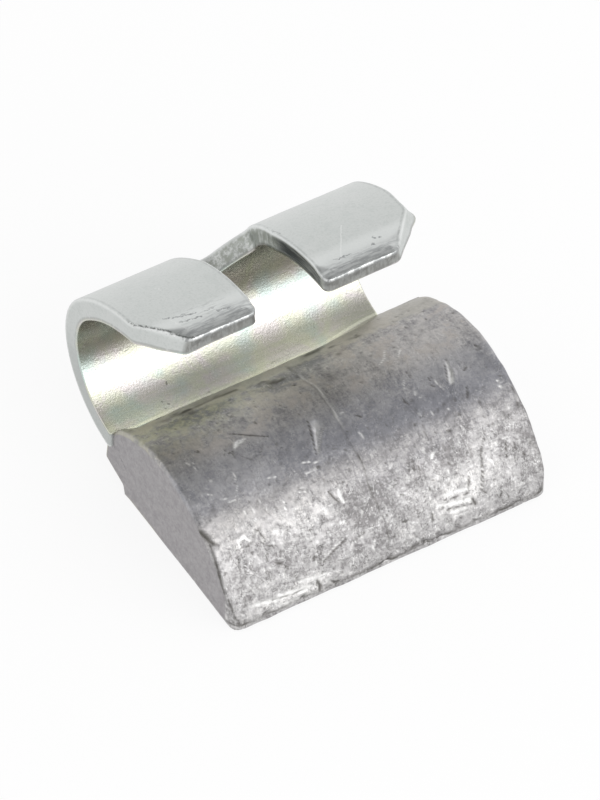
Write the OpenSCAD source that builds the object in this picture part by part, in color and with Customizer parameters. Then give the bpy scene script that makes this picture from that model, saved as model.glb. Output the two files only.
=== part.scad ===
// Clip-on balance weight for a wheel rim: a cast lead body with a spring steel
// clip cast into it. The flat face lies on z = 0, the length runs along y and
// the clip's hook opens towards +x, over the rounded face.

/* [Lead body] */
// Length of the casting
lead_length = 30.8; // [28:0.1:60]
// Radius of the rounded face that lies against the rim
face_r = 12.2; // [11.8:0.1:12.8]
// Distance from the back edge to the centre of the rounded face
face_back = 9.6; // [9:0.1:10]
// How far that centre lies below the flat face
face_drop = 2.3; // [1.8:0.1:2.8]
// Radius of the nose, where the rounded face meets the flat one
nose_r = 0.5; // [0.3:0.1:1.6]
// Radius of the two upright corners at the nose
corner_r = 1.3; // [0.6:0.1:3]
// Height of the back edge above the flat face
back_edge_h = 2; // [1.6:0.1:3.4]
// Depth of the sloping facet under the back edge
facet_depth = 2.9; // [1.5:0.1:4]
// Height of the facet's lower edge above the flat face
facet_h = 1; // [0.6:0.1:1.6]
// Run of the small step from the facet down to the flat face
step_run = 0.2; // [0.1:0.1:1]

/* [Clip] */
// Thickness of the steel strip
strip_t = 2; // [1.6:0.1:2.4]
// Width of the clip along the rim
clip_w = 26.5; // [20:0.1:27]
// How far the clip stands out past the casting's near end
clip_side = 0.4; // [0:0.1:1]
// Inner radius of the curl at the back
curl_r = 6.1; // [5.5:0.1:6.6]
// Distance from the lead's back edge forward to the curl's centre
curl_forward = 2.3; // [1.9:0.1:2.8]
// Height of the clip's foot above the flat face
foot_h = 4.3; // [4:0.1:4.7]
// Turn of the curl from the foot to the shoulder, in degrees
curl_turn = 134; // [126:1:142]
// Inner radius of the shoulder, the flatter arc that carries the tabs
shoulder_r = 16; // [13:0.1:18]
// Turn of the shoulder from the curl to the tips, in degrees
shoulder_turn = 47; // [44:1:52]
// Length of the flat foot inside the lead
foot_length = 7.5; // [4:0.1:9.5]
// Distance from each side of the clip in to the side of the foot
foot_inset = 1.4; // [1.1:0.1:4]
// Turn of the curl that is as narrow as the foot, in degrees
neck_turn = 13; // [11:1:15]

/* [Tabs and notch] */
// Width of the notch between the tips of the tabs
notch_w = 6.4; // [5:0.1:8]
// How much wider the notch is at its root
notch_flare = 1.8; // [1:0.1:2.4]
// Height over which the notch widens towards its root
flare_h = 4.7; // [3:0.1:6]
// Height of the root's lowest point above the flat face
notch_floor = 13.9; // [13.4:0.1:15.5]
// Rise of the root from its lowest point out to its two corners
notch_rise = 1.9; // [1.4:0.1:2.2]
// Radius at the bottom of the root
root_r = 2.4; // [2.3:0.1:3]
// Radius of the root's two corners
root_corner_r = 0.8; // [0.4:0.1:1.2]
// How far the notch lies off the clip's middle, towards the near end
notch_aside = 0.3; // [0:0.1:1]
// Length of each outer corner cut along the tab
tab_cut_run = 3.8; // [1:0.1:5]
// Width of each outer corner cut across the tab
tab_cut_w = 3.4; // [1:0.1:5]

/* [Hidden] */
$fn = 120;

lead_colour = [0.52, 0.52, 0.54];
clip_colour = [0.78, 0.80, 0.78];

// Cuts run past what they cut by this much
overrun = 1;
// A wedge reaches this many radii, so that its chords clear the arc
wedge_reach_share = 1.5;

// Middle of the nose's radius
nose_x = face_back + sqrt(pow(face_r - nose_r, 2) - pow(nose_r + face_drop, 2));
nose_lift = atan2(nose_r + face_drop, nose_x - face_back);
nose_front = nose_x + nose_r;

// The flat face runs from the step to the nose
flat_from = facet_depth + step_run;
flat_middle = (flat_from + nose_x) / 2;

// Curl and shoulder are tangent arcs that share one end
curl_z = foot_h + strip_t + curl_r;
curl_end = 270 - curl_turn;
neck_end = 270 - neck_turn;
shoulder_end = curl_end - shoulder_turn;
shoulder_x = curl_forward - (shoulder_r - curl_r) * cos(curl_end);
shoulder_z = curl_z - (shoulder_r - curl_r) * sin(curl_end);
tip_x = shoulder_x + (shoulder_r + strip_t) * cos(shoulder_end);
crown_z = shoulder_z + shoulder_r + strip_t;

// The root's arc runs on into two slopes, which are tangent to it
root_half = (notch_w + notch_flare) / 2;
root_reach = norm([root_half, root_r - notch_rise]);
root_slope = atan2(root_half, root_r - notch_rise) - acos(root_r / root_reach);

// Each corner of the root is rounded between its slope and the side above it
corner_z = notch_floor + notch_rise;
side_lean = atan2(notch_flare / 2, flare_h);
half_corner = (90 + root_slope - side_lean) / 2;
corner_reach = root_corner_r / sin(half_corner);
corner_mid_y = root_half - corner_reach * cos(half_corner - root_slope);
corner_mid_z = corner_z + corner_reach * sin(half_corner - root_slope);

// Points round an arc, from one angle to another
function arc_points(y, z, r, from_angle, to_angle, steps) = [
    for (i = [0 : steps])
        let (a = from_angle + (to_angle - from_angle) * i / steps)
            [y + r * cos(a), z + r * sin(a)]
];

// Runs a drawn section along y from one place to another
module along(from, to) {
    translate([0, to, 0])
        rotate([90, 0, 0])
            linear_extrude(height = to - from)
                children();
}

// A slice of a disc between two angles
module slice(r, from_angle, to_angle) {
    steps = 6;
    intersection() {
        circle(r = r);
        polygon(concat([[0, 0]], [
            for (i = [0 : steps])
                let (a = from_angle + (to_angle - from_angle) * i / steps)
                    r * wedge_reach_share * [cos(a), sin(a)]
        ]));
    }
}

// The hook's section, as a filled outer shape less a filled inner one: the
// curl's disc touches the shoulder's from inside where the two arcs meet
module hook_section() {
    difference() {
        union() {
            translate([curl_forward, curl_z])
                slice(curl_r + strip_t, shoulder_end, neck_end);
            translate([shoulder_x, shoulder_z])
                slice(shoulder_r + strip_t, shoulder_end, curl_end);
        }
        translate([curl_forward, curl_z])
            circle(r = curl_r);
        translate([shoulder_x, shoulder_z])
            slice(shoulder_r, shoulder_end - neck_turn, curl_end);
        translate([shoulder_x, shoulder_z])
            circle(r = curl_r / 2);
    }
}

// The section of the neck and the flat foot, which the lead holds
module foot_section() {
    translate([curl_forward, curl_z])
        difference() {
            slice(curl_r + strip_t, neck_end - neck_turn, 270);
            circle(r = curl_r);
        }
    translate([curl_forward, foot_h])
        square([foot_length, strip_t]);
}

// The strip as folded, before its free edge is cut
module folded_strip() {
    along(-clip_side, clip_w - clip_side)
        hook_section();
    along(foot_inset - clip_side, clip_w - clip_side - foot_inset)
        foot_section();
}

// Outline of the notch, seen along x: a round root that rises to both sides,
// and sides that lean in towards the tabs
module notch_outline() {
    steps = 6;
    half = concat(
        arc_points(0, notch_floor + root_r, root_r, -90, root_slope - 90, steps),
        arc_points(corner_mid_y, corner_mid_z, root_corner_r, root_slope - 90, side_lean, steps),
        [[notch_w / 2, corner_z + flare_h], [notch_w / 2, crown_z + overrun]]
    );
    last = len(half) - 1;
    polygon(concat(half, [for (i = [last : -1 : 1]) [-half[i][0], half[i][1]]]));
}

// Cutter for the notch, from behind the curl to past the tips
module notch_cut() {
    start = curl_forward - curl_r - strip_t - overrun;
    translate([start, clip_w / 2 - clip_side - notch_aside, 0])
        rotate([90, 0, 90])
            linear_extrude(height = tip_x + overrun - start)
                notch_outline();
}

// Cuts one outer corner off a tab; the tab's side lies at y = 0
module corner_cut() {
    run = tab_cut_run + overrun;
    slope = tab_cut_w / tab_cut_run;
    translate([tip_x - tab_cut_run, 0, curl_z])
        linear_extrude(height = crown_z - curl_z + overrun)
            polygon([
                [-overrun, -overrun * slope],
                [run, run * slope],
                [run, -overrun * slope]
            ]);
}

// The clip, with its two tabs
module clip_shape() {
    difference() {
        folded_strip();
        notch_cut();
        translate([0, -clip_side, 0])
            corner_cut();
        translate([0, clip_w - clip_side, 0])
            mirror([0, 1, 0])
                corner_cut();
    }
}

// Section of the casting: rounded face, flat face and the faceted back
module lead_section() {
    intersection() {
        translate([face_back, -face_drop])
            circle(r = face_r);
        polygon([
            [0, face_r],
            [0, back_edge_h],
            [facet_depth, facet_h],
            [flat_from, 0],
            [nose_x, 0],
            [nose_x, nose_r],
            [nose_x + face_r * cos(nose_lift), nose_r + face_r * sin(nose_lift)],
            [nose_x + face_r, face_r]
        ]);
    }
    intersection() {
        translate([nose_x, nose_r])
            circle(r = nose_r);
        translate([face_back, -face_drop])
            circle(r = face_r);
    }
}

// Outline of the casting from above, with its two rounded corners at the nose
module lead_plan() {
    square([nose_front - corner_r, lead_length]);
    translate([0, corner_r])
        square([nose_front, lead_length - 2 * corner_r]);
    for (y = [corner_r, lead_length - corner_r])
        translate([nose_front - corner_r, y])
            circle(r = corner_r);
}

// The casting, poured round the clip's foot
module lead_shape() {
    difference() {
        intersection() {
            along(0, lead_length)
                lead_section();
            linear_extrude(height = face_r)
                lead_plan();
        }
        folded_strip();
    }
}

// Moves the middle of the flat face to the origin
module placed() {
    translate([-flat_middle, -lead_length / 2, 0])
        children();
}

module clip() {
    color(clip_colour)
        placed()
            clip_shape();
}

module lead_body() {
    color(lead_colour)
        placed()
            lead_shape();
}

clip();
lead_body();
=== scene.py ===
# Looks of a clip-on balance weight: a zinc plated spring clip cast into a lead body.
import math
import bmesh
import bpy
import numpy as np
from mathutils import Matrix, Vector
from mathutils.geometry import delaunay_2d_cdt


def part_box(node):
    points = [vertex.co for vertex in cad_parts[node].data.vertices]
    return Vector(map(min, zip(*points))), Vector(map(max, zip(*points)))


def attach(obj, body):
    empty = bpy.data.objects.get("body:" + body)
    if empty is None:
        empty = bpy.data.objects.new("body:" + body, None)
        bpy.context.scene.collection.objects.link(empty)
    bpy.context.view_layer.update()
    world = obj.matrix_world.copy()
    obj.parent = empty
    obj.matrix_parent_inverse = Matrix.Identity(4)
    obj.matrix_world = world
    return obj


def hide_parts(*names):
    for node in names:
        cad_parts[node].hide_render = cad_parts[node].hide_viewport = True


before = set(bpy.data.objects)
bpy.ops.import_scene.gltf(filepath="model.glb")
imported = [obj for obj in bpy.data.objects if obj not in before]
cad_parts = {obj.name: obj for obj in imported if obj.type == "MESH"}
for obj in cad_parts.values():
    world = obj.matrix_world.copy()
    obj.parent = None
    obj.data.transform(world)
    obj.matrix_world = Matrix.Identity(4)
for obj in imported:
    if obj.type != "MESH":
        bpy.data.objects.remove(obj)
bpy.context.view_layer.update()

# The shapes below are worked out in millimetres
MM = 0.001


def box_mm(node):
    """Lowest and highest corner of a CAD node, in millimetres."""
    return [np.array(corner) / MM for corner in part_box(node)]


clip_low, clip_high = box_mm("clip")
lead_low, lead_high = box_mm("lead_body")

# Clip: a strip bent into a curl and a flatter shoulder, seen in section as x and z
STRIP_T = 2.0
CURL_R = 6.1
SHOULDER_R = 16.0
CURL_START = math.radians(270)
CURL_END = math.radians(136)
TIP_ANGLE = math.radians(89)
NECK_TURN = math.radians(13)
NECK_INSET = 1.4
FOOT_RUN = 2.5
curl_centre = clip_low[[0, 2]] + CURL_R + STRIP_T
bend_axis = np.array([math.cos(CURL_END), math.sin(CURL_END)])
shoulder_centre = curl_centre - (SHOULDER_R - CURL_R) * bend_axis
clip_middle_y = (clip_low[1] + clip_high[1]) / 2
clip_half_w = (clip_high[1] - clip_low[1]) / 2

# Lengths along the middle of the strip, counted from the tips
shoulder_mid_r = SHOULDER_R + STRIP_T / 2
curl_mid_r = CURL_R + STRIP_T / 2
shoulder_run = shoulder_mid_r * (CURL_END - TIP_ANGLE)
curl_run = curl_mid_r * (CURL_START - CURL_END)
neck_run = shoulder_run + curl_run - curl_mid_r * NECK_TURN
strip_run = shoulder_run + curl_run + FOOT_RUN

# Tabs, in the flat strip
TAB_CUT_RUN = 3.9
TAB_CUT_W = 3.4

# Notch, seen along x: a round root between two slopes, and sides that lean in to the tabs
NOTCH_W = 6.4
NOTCH_FLARE = 1.8
FLARE_H = 4.7
NOTCH_FLOOR = 13.9
NOTCH_RISE = 1.9
NOTCH_ASIDE = 0.3
ROOT_R = 2.4
ROOT_CORNER_R = 0.8

# Lead: a rounded face over a flat one, with a faceted back
FACE_R = 12.2
FACE_DROP = 2.3
NOSE_R = 0.5
PLAN_CORNER_R = 1.3
BACK_EDGE_H = 2.0
FACET_DEPTH = 2.9
FACET_H = 1.0
STEP_RUN = 0.2
FACE_BACK = 9.6
# The casting's top falls away as a flat, at this distance from the face's centre and this turn
FALL_R = 11.4
FALL_TURN = 141.4
face_centre = np.array([lead_low[0] + FACE_BACK, -FACE_DROP])
nose_lift = math.asin((NOSE_R + FACE_DROP) / (FACE_R - NOSE_R))
nose_centre = np.array([lead_high[0] - NOSE_R, NOSE_R])
back_angle = math.acos(-FACE_BACK / FACE_R)
lead_half = (lead_high[1] - lead_low[1]) / 2


def field(x, y, cell, seed):
    """Smooth noise from -1 to 1 over two lengths in millimetres, one cell to a bump."""
    side = 256
    lattice = np.random.default_rng(seed).uniform(-1, 1, (side, side))
    gx, gy = np.broadcast_arrays(x / cell + side / 2, y / cell + side / 2)
    ix, iy = np.floor(gx).astype(int), np.floor(gy).astype(int)
    fx, fy = gx - ix, gy - iy
    fx, fy = fx * fx * (3 - 2 * fx), fy * fy * (3 - 2 * fy)

    def at(step_x, step_y):
        return lattice[(ix + step_x) % side, (iy + step_y) % side]

    near = at(0, 0) * (1 - fx) + at(1, 0) * fx
    far = at(0, 1) * (1 - fx) + at(1, 1) * fx
    return near * (1 - fy) + far * fy


def ease(value, low, high):
    """0 at low and 1 at high, with a smooth run between."""
    t = np.clip((value - low) / (high - low), 0, 1)
    return t * t * (3 - 2 * t)


def rounded(corners, spacing):
    """Closed outline through (x, y, radius) corners, with points about one spacing apart."""
    points = []
    count = len(corners)
    for i, (x, y, radius) in enumerate(corners):
        here = np.array([x, y], float)
        back = np.array(corners[i - 1][:2], float) - here
        ahead = np.array(corners[(i + 1) % count][:2], float) - here
        back /= np.linalg.norm(back)
        ahead /= np.linalg.norm(ahead)
        half = math.acos(np.clip(back @ ahead, -1, 1)) / 2
        if radius == 0 or half > math.radians(89.9):
            points.append(here)
            continue
        reach = radius / math.tan(half)
        centre = here + (back + ahead) / np.linalg.norm(back + ahead) * radius / math.sin(half)
        start = here + back * reach - centre
        turn = math.pi - 2 * half
        side = math.copysign(1, back[0] * ahead[1] - back[1] * ahead[0])
        steps = max(3, round(radius * turn / spacing))
        for k in range(steps + 1):
            a = -side * turn * k / steps
            c, s = math.cos(a), math.sin(a)
            points.append(centre + [c * start[0] - s * start[1], s * start[0] + c * start[1]])
    filled = []
    for i, here in enumerate(points):
        there = points[(i + 1) % len(points)]
        gap = np.linalg.norm(there - here)
        if gap < 1e-6:
            continue
        steps = max(1, round(gap / spacing))
        filled.extend(here + (there - here) * k / steps for k in range(steps))
    return np.array(filled)


def outline_normals(points):
    """Unit normals of a closed outline, pointing to the right of its run."""
    along = np.roll(points, -1, 0) - np.roll(points, 1, 0)
    along /= np.linalg.norm(along, axis=1)[:, None]
    return np.stack([along[:, 1], -along[:, 0]], 1)


# Points closer than this are one point
SAME_PLACE = 0.0004


def make_piece(name, vertices, faces, masks, material):
    """A smooth mesh from points in millimetres, with its masks as attributes, in place of its CAD node."""
    mesh = bpy.data.meshes.new(name)
    mesh.from_pydata((vertices * MM).tolist(), [], faces)
    mesh.validate()
    mesh.shade_smooth()
    for mask, values in masks.items():
        mesh.attributes.new(mask, "FLOAT", "POINT").data.foreach_set("value", values.astype(np.float32))
    joined = bmesh.new()
    joined.from_mesh(mesh)
    bmesh.ops.remove_doubles(joined, verts=joined.verts, dist=SAME_PLACE * MM)
    loose = [v for v in joined.verts if not v.link_faces]
    bmesh.ops.delete(joined, geom=loose, context="VERTS")
    bmesh.ops.recalc_face_normals(joined, faces=joined.faces)
    joined.to_mesh(mesh)
    joined.free()
    mesh.materials.append(material)
    piece = bpy.data.objects.new(name, mesh)
    bpy.context.scene.collection.objects.link(piece)
    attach(piece, "root")
    return piece


class Value:
    """A number's socket in a shader: arithmetic on it adds Math nodes."""

    def __init__(self, tree, socket):
        self.tree = tree
        self.socket = socket

    def maths(self, operation, *items):
        node = self.tree.nodes.new("ShaderNodeMath")
        node.operation = operation
        for place, item in zip(node.inputs, items):
            if isinstance(item, Value):
                self.tree.links.new(item.socket, place)
            else:
                place.default_value = item
        return Value(self.tree, node.outputs[0])

    def __add__(self, other):
        return self.maths("ADD", self, other)

    def __sub__(self, other):
        return self.maths("SUBTRACT", self, other)

    def __rsub__(self, other):
        return self.maths("SUBTRACT", other, self)

    def __mul__(self, other):
        return self.maths("MULTIPLY", self, other)

    def __truediv__(self, other):
        return self.maths("DIVIDE", self, other)

    def __pow__(self, power):
        return self.maths("POWER", self, power)

    def __abs__(self):
        return self.maths("ABSOLUTE", self)

    def __neg__(self):
        return self.maths("MULTIPLY", self, -1.0)

    __radd__ = __add__
    __rmul__ = __mul__

    def clamped(self):
        """Kept from 0 to 1."""
        return self.maths("MAXIMUM", self.maths("MINIMUM", self, 1.0), 0.0)

    def most(self, other):
        """The greater of two numbers."""
        return self.maths("MAXIMUM", self, other)


class Paint:
    """A node tree with short forms for the nodes that the finishes need."""

    def __init__(self, owner):
        owner.use_nodes = True
        self.tree = owner.node_tree
        self.tree.nodes.clear()
        self.colour = None

    def node(self, kind, settings=None, sockets=None, out=0):
        """Adds a node: its settings first, then the values or links of its sockets."""
        node = self.tree.nodes.new("ShaderNode" + kind)
        for key, setting in (settings or {}).items():
            setattr(node, key, setting)
        for key, item in (sockets or {}).items():
            if isinstance(item, Value):
                self.tree.links.new(item.socket, node.inputs[key])
            else:
                node.inputs[key].default_value = item
        return Value(self.tree, node.outputs[out]) if len(node.outputs) else node

    def place(self):
        """The surface's own place in metres."""
        return self.node("TexCoord", out="Object")

    def mask(self, name):
        """A number that the piece's mesh holds at each of its points."""
        return self.node("Attribute", {"attribute_name": name}, out="Fac")

    def noise(self, where, size, detail=3.0, rough=0.5, distortion=0.0):
        """Noise from 0 to 1 with features about size millimetres wide."""
        sockets = {"Vector": where, "Scale": 1 / (size * MM), "Detail": detail}
        sockets.update({"Roughness": rough, "Distortion": distortion})
        return self.node("TexNoise", sockets=sockets, out=0)

    def cells(self, where, size, out="Distance"):
        """Distance or tone in a cell pattern with cells about size millimetres wide."""
        return self.node("TexVoronoi", sockets={"Vector": where, "Scale": 1 / (size * MM)}, out=out)

    def shaken(self, where, size, amount):
        """A place moved about by noise, amount and size in millimetres."""
        sockets = {"Vector": where, "Scale": 1 / (size * MM), "Detail": 1.0}
        noise = self.node("TexNoise", sockets=sockets, out="Color")
        moved = {0: noise, 1: (amount * MM,) * 3, 2: where}
        return self.node("VectorMath", {"operation": "MULTIPLY_ADD"}, moved)

    def flat(self, x, y):
        """A place on a flat sheet."""
        return self.node("CombineXYZ", sockets={"X": x, "Y": y, "Z": 0.0})

    def stretched(self, where, scale, turn=(0.0, 0.0, 0.0)):
        """A place scaled along each axis and turned: noise there looks drawn out where the scale is small."""
        return self.node("Mapping", sockets={"Vector": where, "Scale": scale, "Rotation": turn})

    def ramp(self, value, low, high):
        """0 at low and 1 at high, with a smooth run between."""
        settings = {"interpolation_type": "SMOOTHSTEP"}
        return self.node("MapRange", settings, {"Value": value, "From Min": low, "From Max": high})

    def contour(self, value, level, thin, thick):
        """1 on the thin lines where a value is near one level, and 0 off them."""
        return 1 - self.ramp(abs(value - level), thin, thick)

    def blend(self, factor, first, second):
        """The first colour, with the second over it by a factor from 0 to 1."""
        settings = {"data_type": "RGBA", "clamp_factor": True}
        return self.node("Mix", settings, {0: factor, 6: self.rgba(first), 7: self.rgba(second)}, out=2)

    def coat(self, factor, tone):
        """Lays a tone over the colour so far."""
        self.colour = self.blend(factor, self.colour, tone)

    def rgba(self, colour):
        """A colour's socket as it is, or three numbers made opaque."""
        return colour if isinstance(colour, Value) else (*colour, 1.0)

    def stroke(self, u, v, start, end, width):
        """1 on a scratch between two places given in the same lengths as u and v, and 0 off it."""
        run = (end[0] - start[0], end[1] - start[1])
        length2 = run[0] ** 2 + run[1] ** 2
        du, dv = u - start[0], v - start[1]
        share = ((du * run[0] + dv * run[1]) / length2).clamped()
        gap = (du - share * run[0]) ** 2 + (dv - share * run[1]) ** 2
        return 1 - self.ramp(gap, (width * 0.2) ** 2, width ** 2)

    def strokes(self, u, v, marks):
        """1 on any of a list of scratches, each a start, an end and a width, and 0 off them."""
        found = self.stroke(u, v, *marks[0])
        for mark in marks[1:]:
            found = found.most(self.stroke(u, v, *mark))
        return found

    def bump(self, height, depth):
        """Normal from a height from 0 to 1, depth millimetres high."""
        return self.node("Bump", sockets={"Height": height, "Distance": depth * MM, "Strength": 1.0})

    def surface(self, **sockets):
        """The Principled shader and the output."""
        named = {key.replace("_", " "): item for key, item in sockets.items()}
        shader = self.node("BsdfPrincipled", sockets=named)
        self.node("OutputMaterial", sockets={"Surface": shader})


def strip_point(run, across, offset):
    """Places in the frame of points of the flat strip once it is bent, offset out from its middle."""
    shoulder = TIP_ANGLE + run / shoulder_mid_r
    curl = CURL_END + (run - shoulder_run) / curl_mid_r
    foot = run - shoulder_run - curl_run
    in_shoulder = run < shoulder_run
    in_foot = foot > 0
    angle = np.where(in_shoulder, shoulder, np.minimum(curl, CURL_START))
    radius = np.where(in_shoulder, shoulder_mid_r, curl_mid_r) + offset
    centre_x = np.where(in_shoulder, shoulder_centre[0], curl_centre[0])
    centre_z = np.where(in_shoulder, shoulder_centre[1], curl_centre[1])
    x = centre_x + radius * np.cos(angle) + np.where(in_foot, foot, 0)
    z = centre_z + radius * np.sin(angle)
    return np.stack([x, across + clip_middle_y, z], 1)


# Clip mesh: even points inside the strip, rings of points along its edge, and rows down its cut sides
GRID = 0.3
EDGE_RINGS = (0.0, 0.03, 0.07, 0.12, 0.2, 0.34, 0.55, 0.8, 1.1)
WALL_ROWS = 7
EDGE_SPACING = 0.16
# Grid points are compared with the outline this many at a time
BATCH = 2000
# Radii of the tabs' corners, at the tips and along the sides
TIP_CORNER_R = 0.9
SIDE_CORNER_R = 1.6
# The strip's sides end where they meet the lead: the near one first, with a small slope
NEAR_END_RUN = 0.74
NEAR_END_INSIDE = 0.84
HIDDEN_RUN = 1.1
HIDDEN_INSET = 0.8
# Corner rolled over outside and burr inside, as width and depth
ROLLED_EDGE = (0.12, 0.1)
BURRED_EDGE = (0.15, 0.1)
# The tabs' sides lean, so that the inner side stands out past the outer one
FAR_LEAN = 0.72
NEAR_LEAN = 0.45
# Where the strip bends most sharply, from the tips
CROWN_RUN = 14.6


def run_at_height(z):
    """How far from the tips the middle of the strip lies at a height above the flat face."""
    on_curl = z < curl_centre[1] + curl_mid_r * math.sin(CURL_END)
    if on_curl:
        angle = math.pi - math.asin((z - curl_centre[1]) / curl_mid_r)
        return shoulder_run + curl_mid_r * (angle - CURL_END)
    angle = math.pi - math.asin((z - shoulder_centre[1]) / shoulder_mid_r)
    return shoulder_mid_r * (angle - TIP_ANGLE)


def notch_half():
    """Half of the notch in the flat strip, from its tip to the lowest point of its root."""
    root_half = (NOTCH_W + NOTCH_FLARE) / 2
    reach = math.hypot(root_half, ROOT_R - NOTCH_RISE)
    slope = math.atan2(root_half, ROOT_R - NOTCH_RISE) - math.acos(ROOT_R / reach)
    corner_z = NOTCH_FLOOR + NOTCH_RISE
    points = [(0.0, NOTCH_W / 2, 0.7), (run_at_height(corner_z + FLARE_H), NOTCH_W / 2, 2.0)]
    points.append((run_at_height(corner_z), root_half, ROOT_CORNER_R))
    steps = 8
    for k in range(steps, -1, -1):
        a = slope * k / steps
        points.append((run_at_height(NOTCH_FLOOR + ROOT_R * (1 - math.cos(a))), ROOT_R * math.sin(a), 0))
    return points


def clip_outline():
    """The flat strip's outline: tabs, notch, sides and the narrower foot."""
    w = clip_half_w
    foot_w = w - NECK_INSET
    half = notch_half()
    middle = [(run, -NOTCH_ASIDE + across, r) for run, across, r in half]
    middle += [(run, -NOTCH_ASIDE - across, r) for run, across, r in half[-2::-1]]
    far_run = neck_run + HIDDEN_RUN
    return rounded([
        *middle[::-1],
        (0, w - TAB_CUT_W, TIP_CORNER_R),
        (TAB_CUT_RUN, w, SIDE_CORNER_R),
        (far_run, w, 0.4),
        (far_run, foot_w, 0),
        (strip_run, foot_w, 0),
        (strip_run, -foot_w, 0),
        (far_run, -foot_w, 0),
        (far_run, -w + HIDDEN_INSET, 0),
        (neck_run + NEAR_END_INSIDE, -w + HIDDEN_INSET, 0),
        (neck_run + NEAR_END_RUN, -w, 0.25),
        (TAB_CUT_RUN, -w, SIDE_CORNER_R),
        (0, -w + TAB_CUT_W, TIP_CORNER_R),
    ], EDGE_SPACING)


def edge_round(edge_gap, width, depth):
    """Depth of a rounded edge: full on the edge and none at its width away from it."""
    return depth * (1 - np.sqrt(1 - np.clip(1 - edge_gap / width, 0, 1) ** 2))


def strip_sides(run, across, edge_gap):
    """How far the strip's two sides lie from its middle: worn at the edges and thinner at the tabs."""
    tip = 1 - ease(run, 0.9, 2.0)
    tab = 1 - ease(run, 2.0, 19.0)
    away = ease(across + clip_half_w, 1.5, 6.0)
    slope_w = 0.2 + 0.8 * tip
    slope_d = 0.03 + 0.24 * tip
    outside = STRIP_T / 2 - slope_d * np.clip(1 - edge_gap / slope_w, 0, 1) ** 1.6
    outside -= edge_round(edge_gap, *ROLLED_EDGE)
    outside -= 0.012 * (1 + field(run, across, 3.5, 11)) + 0.02 * tip * (1 + field(run, across, 0.7, 12)) / 2
    inside = -STRIP_T / 2 + edge_round(edge_gap, *BURRED_EDGE)
    inside += 0.3 * tab * away + 0.01 * (1 + field(run, across, 2.5, 13))
    return outside, inside


def strip_drift(run, across):
    """Where points of the flat strip come to lie in it once it is worn, and how far its sides lean there."""
    warp = 0.03 * field(run, across, 4.0, 15), 0.04 * field(run, across, 5.0, 16)
    far_lean = FAR_LEAN * (1 - ease(run, 4.5, 15.0)) * ease(across, 4.0, 9.0)
    far_lean *= 0.35 + 0.65 * ease(run, 0, 3.5)
    corner_round = 0.26 * np.exp(-((run - 4.9) / 0.9) ** 2) - 0.14 * np.exp(-((run - 3.1) / 0.6) ** 2)
    far_lean += corner_round * ease(across, 9.0, 12.0)
    near_lean = NEAR_LEAN * (1 - ease(run, 1.5, 3.9)) * ease(-across, 4.0, 9.0)
    crown = np.exp(-((run - CROWN_RUN) / 2.3) ** 2)
    below_crown = 0.28 * ease(run, 4.5, 7.5) * (1 - ease(run, 11.0, 15.0))
    moved = across * 0.9965 + warp[1]
    moved += (0.6 * crown + below_crown) * ease(across, clip_half_w - 3, clip_half_w)
    moved += 0.3 * crown * ease(across, -6.5, -3.4) * (across < -1)
    return run + warp[0], moved, far_lean - near_lean


def lies_within(points, outline):
    """Which points lie within a closed outline."""
    ahead = np.roll(outline, -1, 0)
    found = np.zeros(len(points), bool)
    for (x0, y0), (x1, y1) in zip(outline, ahead):
        crosses = (y0 > points[:, 1]) != (y1 > points[:, 1])
        if y0 != y1:
            found ^= crosses & (points[:, 0] < (x1 - x0) * (points[:, 1] - y0) / (y1 - y0) + x0)
    return found


def walls_face_in(outline, inward):
    """True if the outline runs so that the wall's faces would look into the metal."""
    along = np.roll(outline, -1, 0) - outline
    return (along[:, 0] * inward[:, 1] - along[:, 1] * inward[:, 0]).mean() < 0


def flat_strip(outline, inward):
    """Points and triangles of the flat strip, each point's gap from the edge, and which points lie on it."""
    count = len(outline)
    rings = [outline + inward * gap for gap in EDGE_RINGS]
    runs = np.arange(GRID, strip_run, GRID)
    rows = np.arange(-clip_half_w + GRID, clip_half_w, GRID)
    inner = np.stack(np.meshgrid(runs, rows, indexing="ij"), -1).reshape(-1, 2)
    inner[:, 0] += np.where(np.round(inner[:, 1] / GRID) % 2 > 0, GRID / 2, 0)
    gaps = np.empty(len(inner))
    for k in range(0, len(inner), BATCH):
        gaps[k:k + BATCH] = np.linalg.norm(inner[k:k + BATCH, None] - outline[None], axis=2).min(1)
    keep = gaps > EDGE_RINGS[-1] + GRID * 0.6
    inner, gaps = inner[keep], gaps[keep]
    flat = np.concatenate(rings + [inner])
    edge_gap = np.concatenate([np.full(count, gap) for gap in EDGE_RINGS] + [gaps])
    limits = [(k, (k + 1) % count) for k in range(count)]
    result = delaunay_2d_cdt([Vector(p) for p in flat], limits, [], 1, 1e-7)
    places = np.array([list(p) for p in result[0]])
    triangles = np.array([f for f in result[2]])
    origin = np.array([found[0] for found in result[3]])
    edge_gap = edge_gap[origin]
    ring_of = {int(first): k for k, first in enumerate(origin) if first < count}
    rim = [ring_of[k] for k in range(count)]
    keep = lies_within(places[triangles].mean(1), outline)
    triangles = triangles[keep]
    a, b, c = (places[triangles[:, k]] for k in range(3))
    facing = (b[:, 0] - a[:, 0]) * (c[:, 1] - a[:, 1]) - (b[:, 1] - a[:, 1]) * (c[:, 0] - a[:, 0])
    triangles[facing < 0] = triangles[facing < 0][:, ::-1]
    return places, triangles, edge_gap, rim


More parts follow.
